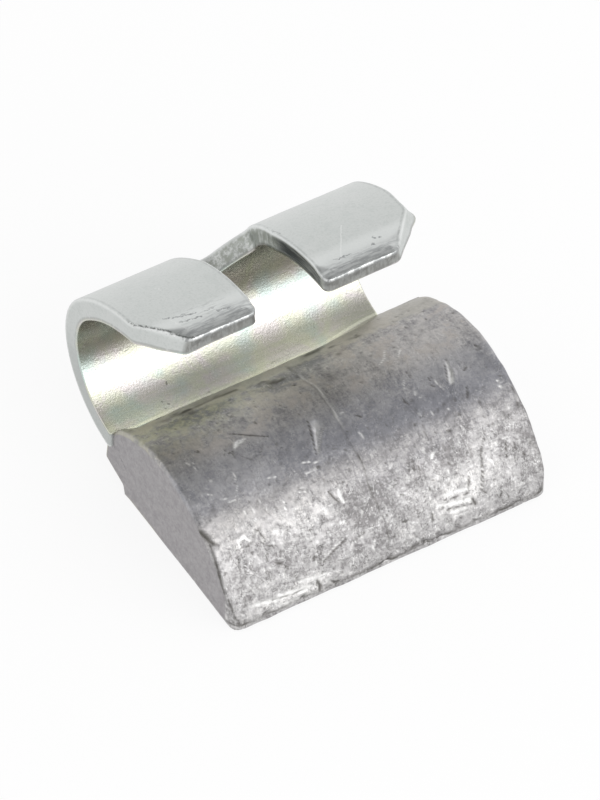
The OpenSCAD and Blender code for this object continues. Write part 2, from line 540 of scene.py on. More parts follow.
def clip_mesh(material):
    """The strip as a bent sheet with rolled edges outside, sharper ones inside and sheared sides."""
    outline = clip_outline()
    count = len(outline)
    inward = outline_normals(outline)
    middle = np.array([strip_run * 0.7, 0.0])
    far = np.argmax(outline[:, 0])
    if (middle - outline[far]) @ inward[far] < 0:
        inward = -inward
    places, triangles, edge_gap, rim = flat_strip(outline, inward)
    run, across = places[:, 0], places[:, 1]
    outside, inside_t = strip_sides(run, across, edge_gap)
    bent_run, bent_across, lean = strip_drift(run, across)
    sheets = [
        strip_point(bent_run, bent_across, outside),
        strip_point(bent_run, bent_across + lean, inside_t),
    ]
    n = len(places)
    faces = triangles.tolist() + (triangles[:, ::-1] + n).tolist()
    wall_first = 2 * n
    walls, wall_depth = [], []
    rim_out, rim_in = outside[rim], inside_t[rim]
    arc = np.arange(count) * EDGE_SPACING
    for row in range(1, WALL_ROWS):
        share = row / WALL_ROWS
        torn = 0.02 * (1 + field(arc, np.full(count, share * 2), 0.4, 21 + row)) * math.sin(math.pi * share)
        torn += 0.03 * ease(share, 0.35, 0.5) * (1 + field(arc, arc * 0, 0.6, 31))
        rim_places = np.stack([bent_run[rim], bent_across[rim]], 1)
        spot = rim_places + inward * torn[:, None]
        offset = rim_out + (rim_in - rim_out) * share
        walls.append(strip_point(spot[:, 0], spot[:, 1] + lean[rim] * share, offset))
        wall_depth.append(np.full(count, share))
    levels = [np.array(rim)] + [wall_first + k * count + np.arange(count) for k in range(WALL_ROWS - 1)]
    levels.append(np.array(rim) + n)
    for upper, lower in zip(levels, levels[1:]):
        for k in range(count):
            m = (k + 1) % count
            faces.append([int(upper[m]), int(upper[k]), int(lower[k]), int(lower[m])])
    if walls_face_in(outline, inward):
        faces[2 * len(triangles):] = [face[::-1] for face in faces[2 * len(triangles):]]
    vertices = np.concatenate(sheets + walls)
    rim_run, rim_across = np.tile(outline[:, 0], WALL_ROWS - 1), np.tile(outline[:, 1], WALL_ROWS - 1)
    masks = {
        "run": np.concatenate([run, run, rim_run]),
        "across": np.concatenate([across, across, rim_across]),
        "edge_gap": np.concatenate([edge_gap, edge_gap, 0 * rim_run]),
        "depth": np.concatenate([0 * run, 0 * run + 1, *wall_depth]),
        "sheared": np.concatenate([0 * run, 0 * run, 0 * rim_run + 1]),
    }
    piece = make_piece("spring_clip", vertices, faces, masks, material)
    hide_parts("clip")
    return piece


# Scratches on the outside of the tabs, as (run, across) in the flat strip, and their widths
PALE_SCRATCHES = [
    ((5.1, 7.6), (3.2, 6.4), 0.055),
    ((3.2, 6.4), (1.4, 5.2), 0.07),
    ((9.9, 3.3), (7.9, 3.0), 0.04),
    ((7.6, -8.9), (6.9, -8.6), 0.04),
    ((2.9, -10.3), (0.9, -9.6), 0.05),
]
DARK_SCRATCHES = [
    ((2.25, 8.9), (2.1, 9.0), 0.15),
    ((2.0, 9.35), (1.95, 9.45), 0.13),
    ((1.5, 8.35), (1.45, 8.5), 0.13),
    ((8.8, 3.1), (7.8, 3.3), 0.07),
    ((2.75, -9.9), (2.6, -9.0), 0.11),
    ((2.45, -9.3), (2.3, -8.0), 0.09),
    ((2.0, -9.7), (1.85, -8.9), 0.11),
    ((1.75, -8.7), (1.6, -7.9), 0.08),
    ((2.1, -7.3), (1.95, -6.6), 0.07),
    ((1.5, -6.6), (1.35, -5.4), 0.07),
    ((3.1, -10.6), (2.9, -10.2), 0.10),
    ((1.6, 4.6), (1.4, 6.2), 0.07),
]
# Pits inside the curl, the same way
INNER_PITS = [
    ((27.0, -6.52), (27.3, -6.62), 0.1),
    ((29.8, -3.7), (29.88, -3.64), 0.1),
    ((28.7, -7.75), (28.8, -7.7), 0.08),
    ((29.2, -7.4), (29.3, -7.3), 0.1),
    ((29.5, -7.85), (29.6, -7.8), 0.08),
    ((29.6, 2.85), (29.65, 2.5), 0.09),
]


def clip_finish():
    """Zinc plating over strip steel: satin outside, tinted inside, dull and torn at the cut edges, with
    painted shade inside the curl and in the notch, and painted highlights along the edges.
    """
    material = bpy.data.materials.new("zinc plated steel")
    p = Paint(material)
    where = p.place()
    run, across = p.mask("run"), p.mask("across")
    edge_gap, depth, sheared = p.mask("edge_gap"), p.mask("depth"), p.mask("sheared")
    outer = 1 - p.ramp(depth, 0.0, 0.3)
    inner = p.ramp(depth, 0.7, 1.0) * (1 - sheared)
    tip_face = sheared * (1 - p.ramp(run, 0.1, 0.5))
    cloud = p.noise(where, 5.0, 2.0)
    grain = p.noise(where, 0.2, 4.0, 0.65)
    fine = p.noise(where, 0.09, 2.0, 0.6)
    flat_place = p.flat(run * MM, across * MM)
    drawn = p.noise(p.stretched(flat_place, (1.0, 0.12, 1.0)), 0.18, 3.0, 0.7)
    p.colour = p.blend(cloud, (0.605, 0.63, 0.615), (0.645, 0.66, 0.65))
    p.coat(p.ramp(grain, 0.45, 0.7) * 0.4, (0.47, 0.5, 0.48))
    faint = p.noise(where, 1.1, 4.0, 0.65)
    p.coat(p.ramp(faint, 0.5, 0.66) * 0.35, (0.54, 0.57, 0.555))
    # Passivation tints inside the curl
    hue = p.noise(where, 2.6, 3.0, 0.6, 0.8)
    tint = p.blend(p.ramp(hue, 0.38, 0.62), (0.66, 0.665, 0.545), (0.675, 0.625, 0.62))
    tint = p.blend(p.ramp(p.noise(where, 3.7, 2.0), 0.48, 0.68), tint, (0.54, 0.625, 0.59))
    p.coat(inner * 0.9, tint)
    specks = 1 - p.ramp(p.cells(where, 0.9), 0.05, 0.13)
    specks = specks * inner * p.ramp(p.noise(where, 2.2), 0.52, 0.6)
    p.coat(specks * 0.7, (0.25, 0.25, 0.24))
    # Painted shade on the inside of the shoulder, under the tabs: the upper inside of the curl is coloured
    # darker
    painted_inner_shade = inner * p.ramp(run, 2.0, 8.0) * (1 - p.ramp(run, 18.0, 23.0))
    p.coat(painted_inner_shade * 0.5, (0.5, 0.51, 0.46))
    # Darker olive band above the lead, partly a real tint and partly painted shade, with a painted highlight
    # line along the lead and painted shade in the crevice under that line
    polar = (run - shoulder_run) / curl_mid_r * (180 / math.pi) + math.degrees(CURL_END)
    streak = p.noise(p.stretched(flat_place, (1.0, 0.1, 1.0)), 0.5, 4.0, 0.7)
    above_lead = p.ramp(polar, 236.0, 247.0) * inner
    dull = 0.15 + p.ramp(streak, 0.42, 0.62) * 0.4 + p.ramp(across, 8.0, 12.0) * 0.45
    p.coat(above_lead * dull, (0.54, 0.55, 0.45))
    along = polar + p.ramp(across, 5.5, 13.5) * 7 + p.ramp(-across, 11.8, 12.8) + (streak - 0.5) * 0.8
    # Painted highlight: a bright line on the fillet where the curl meets the lead
    line = p.ramp(along, 264.4, 265.4) * (1 - p.ramp(along, 266.9, 267.6)) * inner * p.ramp(streak, 0.33, 0.5)
    p.coat(line * (0.35 + p.ramp(abs(across), 7.0, 10.0) * 0.45), (0.86, 0.87, 0.72))
    # Painted shade in the crevice between the curl and the lead, below the painted highlight line
    below = p.ramp(along, 267.4, 268.4) * inner
    p.coat(below * 0.35, (0.25, 0.24, 0.18))
    # Rubbed band along the tips
    near_tip = outer * (1 - p.ramp(run, 2.2, 3.4))
    p.coat(near_tip * 0.6, (0.78, 0.8, 0.79))
    wear = run + (cloud - 0.5) * 1.2 + (drawn - 0.5) * 1.0
    band = outer * (1 - sheared) * (1 - p.ramp(wear, 0.9, 1.9))
    rubbed = p.ramp(drawn, 0.42, 0.6)
    p.coat(band * (0.12 + rubbed * 0.5), (0.3, 0.31, 0.32))
    scuffed = outer * (1 - p.ramp(abs(across + 7.6), 1.6, 2.8)) * (1 - p.ramp(abs(run - 2.2), 0.5, 1.2))
    p.coat(scuffed * p.ramp(drawn, 0.5, 0.66) * 0.5, (0.36, 0.37, 0.37))
    # Cut edges
    torn = p.noise(p.stretched(where, (1.0, 1.0, 0.3)), 0.4, 4.0, 0.7)
    root = sheared * p.ramp(run, 6.0, 9.0) * (1 - p.ramp(abs(across + NOTCH_ASIDE), 4.2, 5.0))
    p.coat(root * p.ramp(torn, 0.42, 0.6) * 0.6, (0.34, 0.36, 0.3))
    p.coat(root * p.ramp(1 - torn, 0.5, 0.62) * 0.6, (0.8, 0.81, 0.78))
    in_notch = sheared * p.ramp(run, 0.4, 1.2) * (1 - p.ramp(abs(across + NOTCH_ASIDE), 4.2, 5.0))
    # Painted shade on the right tab's notch wall, which faces the left tab; streaked along the shear
    notch_wall_shade = in_notch * p.ramp(across, 1.6, 3.0) * (1 - p.ramp(run, 6.5, 9.5))
    wall_place = p.stretched(p.flat(run * MM, depth * (6 * MM)), (0.25, 1.0, 1.0))
    stripes = p.noise(wall_place, 1.0, 3.0, 0.6)
    p.coat(notch_wall_shade * (0.6 + p.ramp(stripes, 0.4, 0.55) * 0.4), (0.08, 0.09, 0.1))
    # Painted shade: the near cut side of the strip is coloured darker lower down the curl
    near_wall_shade = sheared * p.ramp(-across, 12.0, 13.0)
    p.coat(near_wall_shade * p.ramp(run, 17.0, 24.0) * 0.45, (0.36, 0.38, 0.37))
    p.coat(tip_face * (0.65 + p.ramp(torn, 0.4, 0.6) * 0.3), (0.25, 0.25, 0.235))
    lower_line = sheared * p.ramp(depth, 0.8, 0.97) * p.ramp(torn, 0.3, 0.5)
    p.coat(lower_line * 0.75, (0.15, 0.16, 0.15))
    # Painted highlight along the rolled outer edge, broken up by the torn noise
    rim = (1 - p.ramp(edge_gap + (torn - 0.5) * 0.3, 0.03, 0.12)) * (1 - sheared) * outer
    p.coat(rim * 0.35, (0.9, 0.91, 0.9))
    # Painted shade in a band just inside that painted edge highlight, where the edge slopes down
    under = p.ramp(edge_gap, 0.12, 0.2) * (1 - p.ramp(edge_gap, 0.24, 0.4)) * (1 - sheared) * outer
    p.coat(under * (0.2 + p.ramp(torn, 0.4, 0.6) * 0.4), (0.4, 0.42, 0.41))
    cut_edge = outer * (1 - sheared) * p.ramp(-across, 8.6, 9.6) * (1 - p.ramp(run, 3.8, 5.0))
    torn_gap = edge_gap + (torn - 0.5) * 0.5
    cut_edge = cut_edge * p.ramp(torn_gap, 0.0, 0.1) * (1 - p.ramp(torn_gap, 0.14, 0.26))
    p.coat(cut_edge * p.ramp(grain, 0.42, 0.55) * 0.85, (0.17, 0.18, 0.17))
    p.coat(cut_edge * p.ramp(1 - grain, 0.52, 0.6) * 0.7, (0.9, 0.91, 0.9))
    tip_corner = (1 - p.ramp(edge_gap, 0.1, 0.2)) * (1 - p.ramp(run, 0.3, 0.8))
    tip_corner = tip_corner * (1 - p.ramp(depth, 0.1, 0.2))
    dulled = p.ramp(p.noise(p.stretched(flat_place, (1.0, 0.4, 1.0)), 0.5, 3.0, 0.7), 0.46, 0.54)
    p.coat(tip_corner * dulled * 0.8, (0.3, 0.31, 0.31))
    # Pits and scratches
    wander = (grain - 0.5) * 0.2 + (p.noise(where, 0.7, 3.0, 0.6) - 0.5) * 0.7
    pits = p.strokes(run + wander * 0.3, across + wander * 0.3, INNER_PITS)
    pale = p.strokes(run + wander, across + wander, PALE_SCRATCHES)
    dark = p.strokes(run + wander, across + wander, DARK_SCRATCHES)
    p.coat(pits * inner * (0.25 + p.ramp(grain, 0.4, 0.55) * 0.5), (0.14, 0.14, 0.12))
    p.coat(pale * outer * 0.6, (0.82, 0.83, 0.82))
    p.coat(dark * outer * (0.3 + p.ramp(grain, 0.4, 0.55) * 0.4), (0.16, 0.17, 0.18))
    roughness = 0.28 + grain * 0.1 - inner * 0.07 + sheared * 0.1
    height = grain * (0.5 + inner * 1.1) + fine * 0.35 + root * torn * 1.6
    height = height + tip_face * torn + drawn * band * 0.8
    normal = p.bump(height, 0.014)
    p.surface(Base_Color=p.colour, Metallic=1.0, Roughness=roughness, Normal=normal)
    return material


# Lead mesh: fine points round the rounded face and along y, and coarser ones on the plain sides
LEAD_SPACING = 0.135
PLAIN_SPACING = 0.8
BACK_SPACING = 0.4
NOSE_STEPS = 6
# Distances from each end of the first rings
END_SPACING = (0.0, 0.05, 0.12, 0.22, 0.36, 0.55, 0.8, 1.05, 1.3)
# The end faces' rings draw in towards a line across the section, given by its two ends as (x, z)
CAP_RINGS = 14
CAP_FIRST = 0.04
SPINE_FROM = np.array([-8.0, 3.2])
SPINE_TO = np.array([3.0, 2.6])


def between(start, end, spacing):
    """Points from just past one place up to another, about one spacing apart."""
    count = max(1, round(np.linalg.norm(end - start) / spacing))
    return [start + (end - start) * k / count for k in range(1, count + 1)]


def lead_outline():
    """The casting's section as points: the rounded face, the nose, the flat side and the faceted back."""
    points = []
    steps = round(FACE_R * (back_angle - nose_lift) / LEAD_SPACING)
    for k in range(steps + 1):
        a = back_angle + (nose_lift - back_angle) * k / steps
        points.append(face_centre + FACE_R * np.array([math.cos(a), math.sin(a)]))
    for k in range(1, NOSE_STEPS + 1):
        a = nose_lift - (nose_lift + math.pi / 2) * k / NOSE_STEPS
        points.append(nose_centre + NOSE_R * np.array([math.cos(a), math.sin(a)]))
    flat_back = lead_low[0] + FACET_DEPTH + STEP_RUN
    rest = [
        (flat_back, 0.0, 0.12),
        (flat_back - STEP_RUN, FACET_H, 0.12),
        (lead_low[0], BACK_EDGE_H, 0.3),
    ]
    stops = [(*points[-1], 0)] + rest + [(*points[0], 0)]
    for i, (x, z, radius) in enumerate(stops[1:-1], 1):
        here = np.array([x, z])
        before, after = (np.array(stops[k][:2]) - here for k in (i - 1, i + 1))
        before = here + before / np.linalg.norm(before) * radius
        after = here + after / np.linalg.norm(after) * radius
        points.extend(between(points[-1], before, PLAIN_SPACING))
        for t in (0.33, 0.67, 1):
            inwards, onwards = before * (1 - t) + here * t, here * (1 - t) + after * t
            points.append(inwards * (1 - t) + onwards * t)
    points.extend(between(points[-1], points[0], BACK_SPACING)[:-1])
    return np.array(points)


class Relief:
    """Heights of the casting's worn face over a grid, in millimetres, with its bright and dirty marks."""

    def __init__(self, turns, lengths):
        self.turn = np.degrees(turns)[None, :]
        self.arc = (FACE_R * turns)[None, :]
        self.y = lengths[:, None]
        self.height = np.zeros((len(lengths), len(turns)))
        self.bright = np.zeros_like(self.height)
        self.dirt = np.zeros_like(self.height)
        self.shine = np.zeros_like(self.height)
        self.ragged = field(self.arc, self.y, 0.32, 24)

    def mark(self, path, width, depth, bright=0.0, dirt=0.0, lip=0.0, blunt=0.3):
        """A scratch or gouge along (turn, y) places, narrower at its ends, with a raised lip beside it."""
        places = np.array(path, float) * [FACE_R * math.pi / 180, 1]
        low, high = places.min(0) - width * 2.5, places.max(0) + width * 2.5
        cols = np.flatnonzero((self.arc[0] > low[0]) & (self.arc[0] < high[0]))
        rows = np.flatnonzero((self.y[:, 0] > low[1]) & (self.y[:, 0] < high[1]))
        if not len(rows) or not len(cols):
            return
        window = np.ix_(rows, cols)
        arc, y = self.arc[:, cols], self.y[rows]
        ragged = 1 + 0.45 * self.ragged[window]
        steps = np.maximum(np.linalg.norm(np.diff(places, axis=0), axis=1), 1e-4)
        walked = 0.0
        cut, ridge = 0.0, 0.0
        for (a0, y0), (a1, y1), step in zip(places, places[1:], steps):
            da, dy = arc - a0, y - y0
            share = np.clip((da * (a1 - a0) + dy * (y1 - y0)) / step ** 2, 0, 1)
            along = (walked + share * step) / steps.sum()
            local = width * (blunt + (1 - blunt) * np.sin(np.pi * along) ** 0.7) * ragged
            gap = np.hypot(da - share * (a1 - a0), dy - share * (y1 - y0)) / local
            side = (da * (y1 - y0) - dy * (a1 - a0)) / step / local
            cut = np.maximum(cut, np.exp(-(gap * 1.6) ** 2))
            near = np.exp(-np.maximum(gap - 1.2, 0) ** 2)
            ridge = np.maximum(ridge, np.exp(-((side - 1.1) * 1.8) ** 2) * near)
            walked += step
        self.height[window] += lip * ridge - depth * cut
        self.bright[window] = np.maximum(self.bright[window], bright * cut)
        self.dirt[window] = np.maximum(self.dirt[window], dirt * cut)


# Brighter and duller patches of the rounded face: middle as (turn, y), half sizes and strength
FACE_PATCHES = [
    ((47, -7.0), (6, 4.0), 0.35),
    ((54, -12.5), (6, 2.5), 0.35),
    ((35, -11.5), (6, 3.0), -0.15),
    ((18, -9.0), (5, 5.0), 0.55),
    ((40, -0.5), (9, 3.2), -0.4),
    ((34, 7.0), (6, 3.4), 0.4),
    ((48, 6.0), (6, 4.0), -0.3),
    ((22, -1.5), (8, 3.5), -0.2),
    ((24, 6.5), (6, 3.0), 0.2),
    ((27, 11.5), (8, 2.5), 0.1),
    ((36, 15.0), (16, 1.8), -0.3),
    ((90, 10.0), (18, 5.0), 0.35),
    ((92, 3.0), (10, 3.0), 0.1),
    ((66, 9.0), (9, 8.0), -0.35),
    ((70, -2.0), (9, 4.0), -0.2),
    ((109, -10.0), (5, 3.4), -0.6),
    ((106, -1.5), (6, 3.0), -0.3),
    ((112, 3.0), (4, 3.0), -0.3),
    ((98, 5.0), (6, 3.0), 0.2),
]
# Brown smudges near the clip, the same way
FACE_SMUDGES = [
    ((107.3, -2.0), (2.6, 0.9), 2.2),
    ((112.5, -1.6), (1.6, 2.2), 1.2),
    ((116.3, -10.6), (1.6, 1.6), 1.3),
    ((116.8, -8.6), (1.4, 1.8), 1.3),
    ((115.0, -5.8), (1.2, 1.8), 1.0),
    ((112.0, -10.5), (2.6, 2.2), 0.8),
    ((118.5, 2.4), (1.6, 2.0), 1.1),
    ((116.0, 5.4), (1.4, 2.4), 1.1),
    ((108.6, 3.2), (2.4, 1.4), 0.9),
    ((96.0, 1.0), (3.0, 1.4), 0.4),
]
# Marks of the rounded face: (turn, y) places, width, depth, bright, dirt, lip and how blunt the ends are
FACE_MARKS = [
    ([(90.8, -8.8), (86.5, -7.5), (82.1, -6.1)], 0.12, 0.04, 0.0, 1.0, 0.0, 0.4),
    ([(83.1, -9.3), (85.0, -8.7), (85.4, -7.9)], 0.22, 0.06, 1.0, 0.0, 0.05, 0.3),
    ([(79.1, -9.1), (75.9, -8.6), (77.4, -7.3), (81.1, -6.7)], 0.13, 0.03, 0.0, 0.45, 0.04, 0.5),
    ([(79.0, -1.95), (75.5, -2.2)], 0.50, 0.09, 0.45, 0.0, 0.0, 0.7),
    ([(76.0, -2.2), (68.0, -3.05)], 0.30, 0.09, 0.45, 0.0, 0.0, 0.5),
    ([(81.5, -2.4), (74.0, -2.85), (66.9, -3.3)], 0.10, 0.05, 0.0, 1.0, 0.02, 0.5),
    ([(77.4, -1.35), (72.0, -2.3), (66.1, -3.2)], 0.09, 0.03, 0.55, 0.2, 0.05, 0.5),
    ([(81.0, 11.1), (76.0, 10.85), (70.7, 10.3)], 0.24, 0.09, 0.8, 0.0, 0.05, 0.3),
    ([(75.6, 10.9), (71.6, 10.5)], 0.36, 0.05, 1.0, 0.0, 0.03, 0.6),
    ([(80.5, 10.85), (76.0, 10.5), (72.0, 10.15)], 0.09, 0.04, 0.0, 0.9, 0.0, 0.4),
    ([(75.6, 9.2), (73.0, 9.3), (70.0, 9.5)], 0.08, 0.02, 0.9, 0.0, 0.02, 0.4),
    ([(98.7, 7.3), (94.6, 6.8), (92.3, 6.0)], 0.08, 0.02, 0.85, 0.0, 0.02, 0.4),
    ([(96.2, 8.7), (94.2, 8.2), (92.4, 7.9)], 0.08, 0.02, 0.85, 0.0, 0.02, 0.4),
    ([(64.6, 14.1), (63.3, 14.3)], 0.14, 0.03, 1.0, 0.0, 0.03, 0.6),
    ([(62.4, 14.0), (60.5, 14.3)], 0.12, 0.03, 0.9, 0.0, 0.03, 0.6),
    ([(41.4, 12.6), (38.0, 12.35), (34.6, 12.2)], 0.10, 0.05, 0.0, 1.0, 0.02, 0.5),
    ([(39.9, 13.3), (35.5, 13.2)], 0.10, 0.05, 0.0, 0.8, 0.02, 0.5),
    ([(41.1, 10.1), (33.0, 9.75), (25.5, 9.2)], 0.09, 0.05, 0.0, 0.9, 0.03, 0.5),
    ([(51.6, -3.8), (48.5, -3.6), (45.1, -3.2)], 0.15, 0.09, 0.0, 1.0, 0.0, 0.2),
    ([(50.6, -2.9), (47.5, -3.05), (44.6, -2.9)], 0.22, 0.03, 1.0, 0.0, 0.04, 0.3),
    ([(31.3, -3.6), (28.6, -5.1), (25.5, -6.4)], 0.12, 0.07, 0.0, 1.0, 0.05, 0.4),
    ([(31.9, -3.9), (29.2, -5.4), (26.2, -6.6)], 0.09, 0.0, 0.7, 0.0, 0.02, 0.4),
    ([(54.3, 8.0), (54.0, 8.3)], 0.16, 0.08, 0.0, 1.0, 0.02, 0.9),
    ([(63.9, -0.9), (63.6, -0.8)], 0.11, 0.05, 0.0, 0.9, 0.02, 0.9),
    ([(48.8, 6.1), (46.9, 5.8)], 0.20, 0.04, 1.0, 0.0, 0.03, 0.5),
    ([(66.1, -4.8), (65.1, -4.1)], 0.09, 0.02, 1.0, 0.0, 0.02, 0.5),
    ([(61.5, -4.9), (61.8, -3.8)], 0.09, 0.02, 1.0, 0.0, 0.02, 0.5),
    ([(64.2, -3.9), (63.6, -3.4)], 0.09, 0.02, 0.9, 0.0, 0.02, 0.5),
    ([(60.0, 15.05), (54.0, 14.9), (47.9, 14.7)], 0.10, 0.05, 0.0, 0.85, 0.02, 0.5),
    ([(45.5, 14.75), (37.1, 14.65), (30.6, 14.75), (24.0, 14.8)], 0.10, 0.05, 0.0, 0.9, 0.02, 0.5),
    ([(48.4, 11.14), (41.1, 10.1), (33.5, 9.6), (25.9, 9.05)], 0.10, 0.05, 0.0, 0.85, 0.02, 0.5),
    ([(59.8, -15.6), (56.0, -15.3), (52.5, -15.1), (50.3, -14.7)], 0.38, 0.18, 0.0, 1.0, 0.04, 0.5),
    ([(51.1, -15.2), (44.1, -15.25), (35.2, -15.4), (27.0, -15.45)], 0.14, 0.06, 0.0, 1.0, 0.02, 0.6),
    ([(28.0, -15.3), (20.0, -15.1), (14.5, -14.8)], 0.12, 0.06, 0.0, 0.9, 0.02, 0.6),
    ([(45.3, -12.9), (47.9, -12.8), (48.4, -12.2), (46.0, -11.8)], 0.17, 0.05, 0.9, 0.0, 0.05, 0.5),
    ([(44.8, -12.6), (45.4, -11.6)], 0.10, 0.05, 0.0, 0.7, 0.0, 0.5),
    ([(30.9, 5.9), (29.8, 7.9)], 0.34, 0.02, 0.8, 0.0, 0.02, 0.8),
    ([(29.0, 5.6), (27.6, 8.1)], 0.08, 0.05, 0.0, 0.9, 0.0, 0.7),
    ([(28.0, 4.9), (26.9, 5.9)], 0.30, 0.02, 0.6, 0.0, 0.03, 0.9),
    ([(26.7, 6.1), (24.9, 8.0)], 0.34, 0.02, 1.0, 0.0, 0.03, 0.9),
    ([(25.1, 5.4), (24.0, 6.6), (22.7, 8.0)], 0.08, 0.05, 0.0, 0.9, 0.0, 0.6),
    ([(22.9, 6.0), (22.0, 7.3)], 0.30, 0.02, 0.9, 0.0, 0.03, 0.8),
    ([(23.3, 4.8), (22.0, 5.6)], 0.24, 0.02, 0.5, 0.3, 0.03, 0.8),
    ([(26.0, 4.3), (22.3, 4.2)], 0.16, 0.07, 0.0, 1.0, 0.0, 0.7),
    ([(24.6, 8.2), (21.5, 8.4)], 0.24, 0.09, 0.0, 1.0, 0.0, 0.8),
    ([(21.5, -13.6), (19.6, -11.8), (18.2, -10.4)], 0.34, 0.03, 0.8, 0.0, 0.04, 0.6),
    ([(20.2, -10.9), (19.2, -9.4), (18.4, -7.9)], 0.42, 0.03, 1.0, 0.0, 0.04, 0.8),
    ([(22.4, -8.8), (21.4, -7.4), (20.7, -6.2)], 0.3, 0.03, 0.9, 0.0, 0.04, 0.6),
    ([(15.8, -11.0), (15.2, -9.2), (14.8, -7.8)], 0.3, 0.03, 0.9, 0.0, 0.04, 0.7),
    ([(19.5, -11.5), (18.4, -9.5), (17.8, -7.6)], 0.10, 0.05, 0.0, 0.8, 0.0, 0.6),
    ([(19.4, -7.2), (16.5, -7.0), (14.0, -7.1)], 0.26, 0.10, 0.0, 1.0, 0.0, 0.8),
    ([(17.6, -6.3), (15.6, -5.9)], 0.30, 0.03, 0.9, 0.0, 0.04, 0.7),
]
# Short white ticks on the near half: (turn, y) places, width and bright
WHITE_TICKS = [
    ([(87.0, -13.58), (84.6, -13.3)], 0.07, 0.8),
    ([(84.9, -12.98), (82.4, -13.1), (80.0, -13.2)], 0.07, 0.8),
    ([(82.7, -12.97), (82.4, -12.63)], 0.06, 0.7),
    ([(91.3, -15.34), (91.4, -14.94)], 0.06, 0.6),
    ([(69.8, -13.48), (68.9, -13.02)], 0.07, 0.9),
    ([(73.3, -13.35), (71.4, -13.11)], 0.06, 0.7),
    ([(74.2, -10.47), (71.4, -10.52), (69.9, -10.9)], 0.07, 0.8),
    ([(68.8, -10.63), (66.4, -11.01)], 0.07, 0.8),
    ([(66.3, -8.34), (65.7, -7.84), (65.1, -7.33)], 0.07, 0.95),
    ([(65.7, -12.62), (65.0, -12.04)], 0.07, 0.8),
    ([(63.4, -12.13), (63.3, -11.46)], 0.07, 0.8),
    ([(60.4, -9.59), (57.8, -9.59)], 0.07, 0.8),
    ([(58.1, -11.27), (55.4, -11.18)], 0.08, 0.9),
    ([(58.6, -10.45), (55.7, -10.48)], 0.08, 0.9),
    ([(55.4, -7.73), (51.8, -7.9)], 0.08, 0.9),
    ([(56.9, -5.93), (56.5, -5.49)], 0.07, 0.8),
    ([(55.7, -6.16), (54.8, -5.48)], 0.07, 0.8),
]
TICK_DEPTH = 0.02


# How many small marks of each kind lie on the rounded face
CRINKLES = 300
PITS = 360
NICKS = 70


def scatter_marks(r):
    """Small crinkles, pits and nicks on the rounded face, at random."""
    rng = np.random.default_rng(40)
    for _ in range(CRINKLES):
        turn = rng.choice([rng.uniform(13, 55), rng.uniform(15, 45), rng.uniform(50, 125)])
        y = rng.uniform(-15.2, 15.2)
        lean = rng.choice([rng.normal(1.5, 0.4), rng.normal(0.3, 0.9)])
        size = rng.gamma(1.4, 0.3)
        step = (math.degrees(size * math.sin(lean) / FACE_R), size * math.cos(lean))
        bend = (step[0] * 0.5 + rng.normal(0, 0.6), step[1] * 0.5 + rng.normal(0, 0.1))
        path = [(turn, y), (turn + bend[0], y + bend[1]), (turn + step[0], y + step[1])]
        depth = rng.uniform(0.012, 0.04)
        light = rng.choice([0, 0, 0.55]) * (turn < 84)
        width = rng.uniform(0.09, 0.16)
        dirt = rng.choice([0, 0.5, 0.9]) * (light == 0)
        r.mark(path, width, depth, light, dirt, depth * 0.5)
    for _ in range(PITS):
        turn, y = rng.uniform(12, 130), rng.uniform(-15.2, 15.2)
        size = rng.uniform(0.07, 0.16)
        r.mark([(turn, y), (turn + 0.4, y + 0.05)], size, size * 0.3, 0, rng.choice([0, 0.3, 0.6]), 0, 1.0)
    # Nicks of uneven size along the torn lower edge
    for _ in range(NICKS):
        turn, y = rng.uniform(12.5, 16), rng.uniform(-15, 15)
        size = rng.uniform(0.12, 0.4)
        far = (turn - 1, y + rng.uniform(-0.5, 0.5))
        r.mark([(turn, y), far], size, size * 0.35, 0, rng.choice([0, 0.3, 0.7]), 0, 1.0)


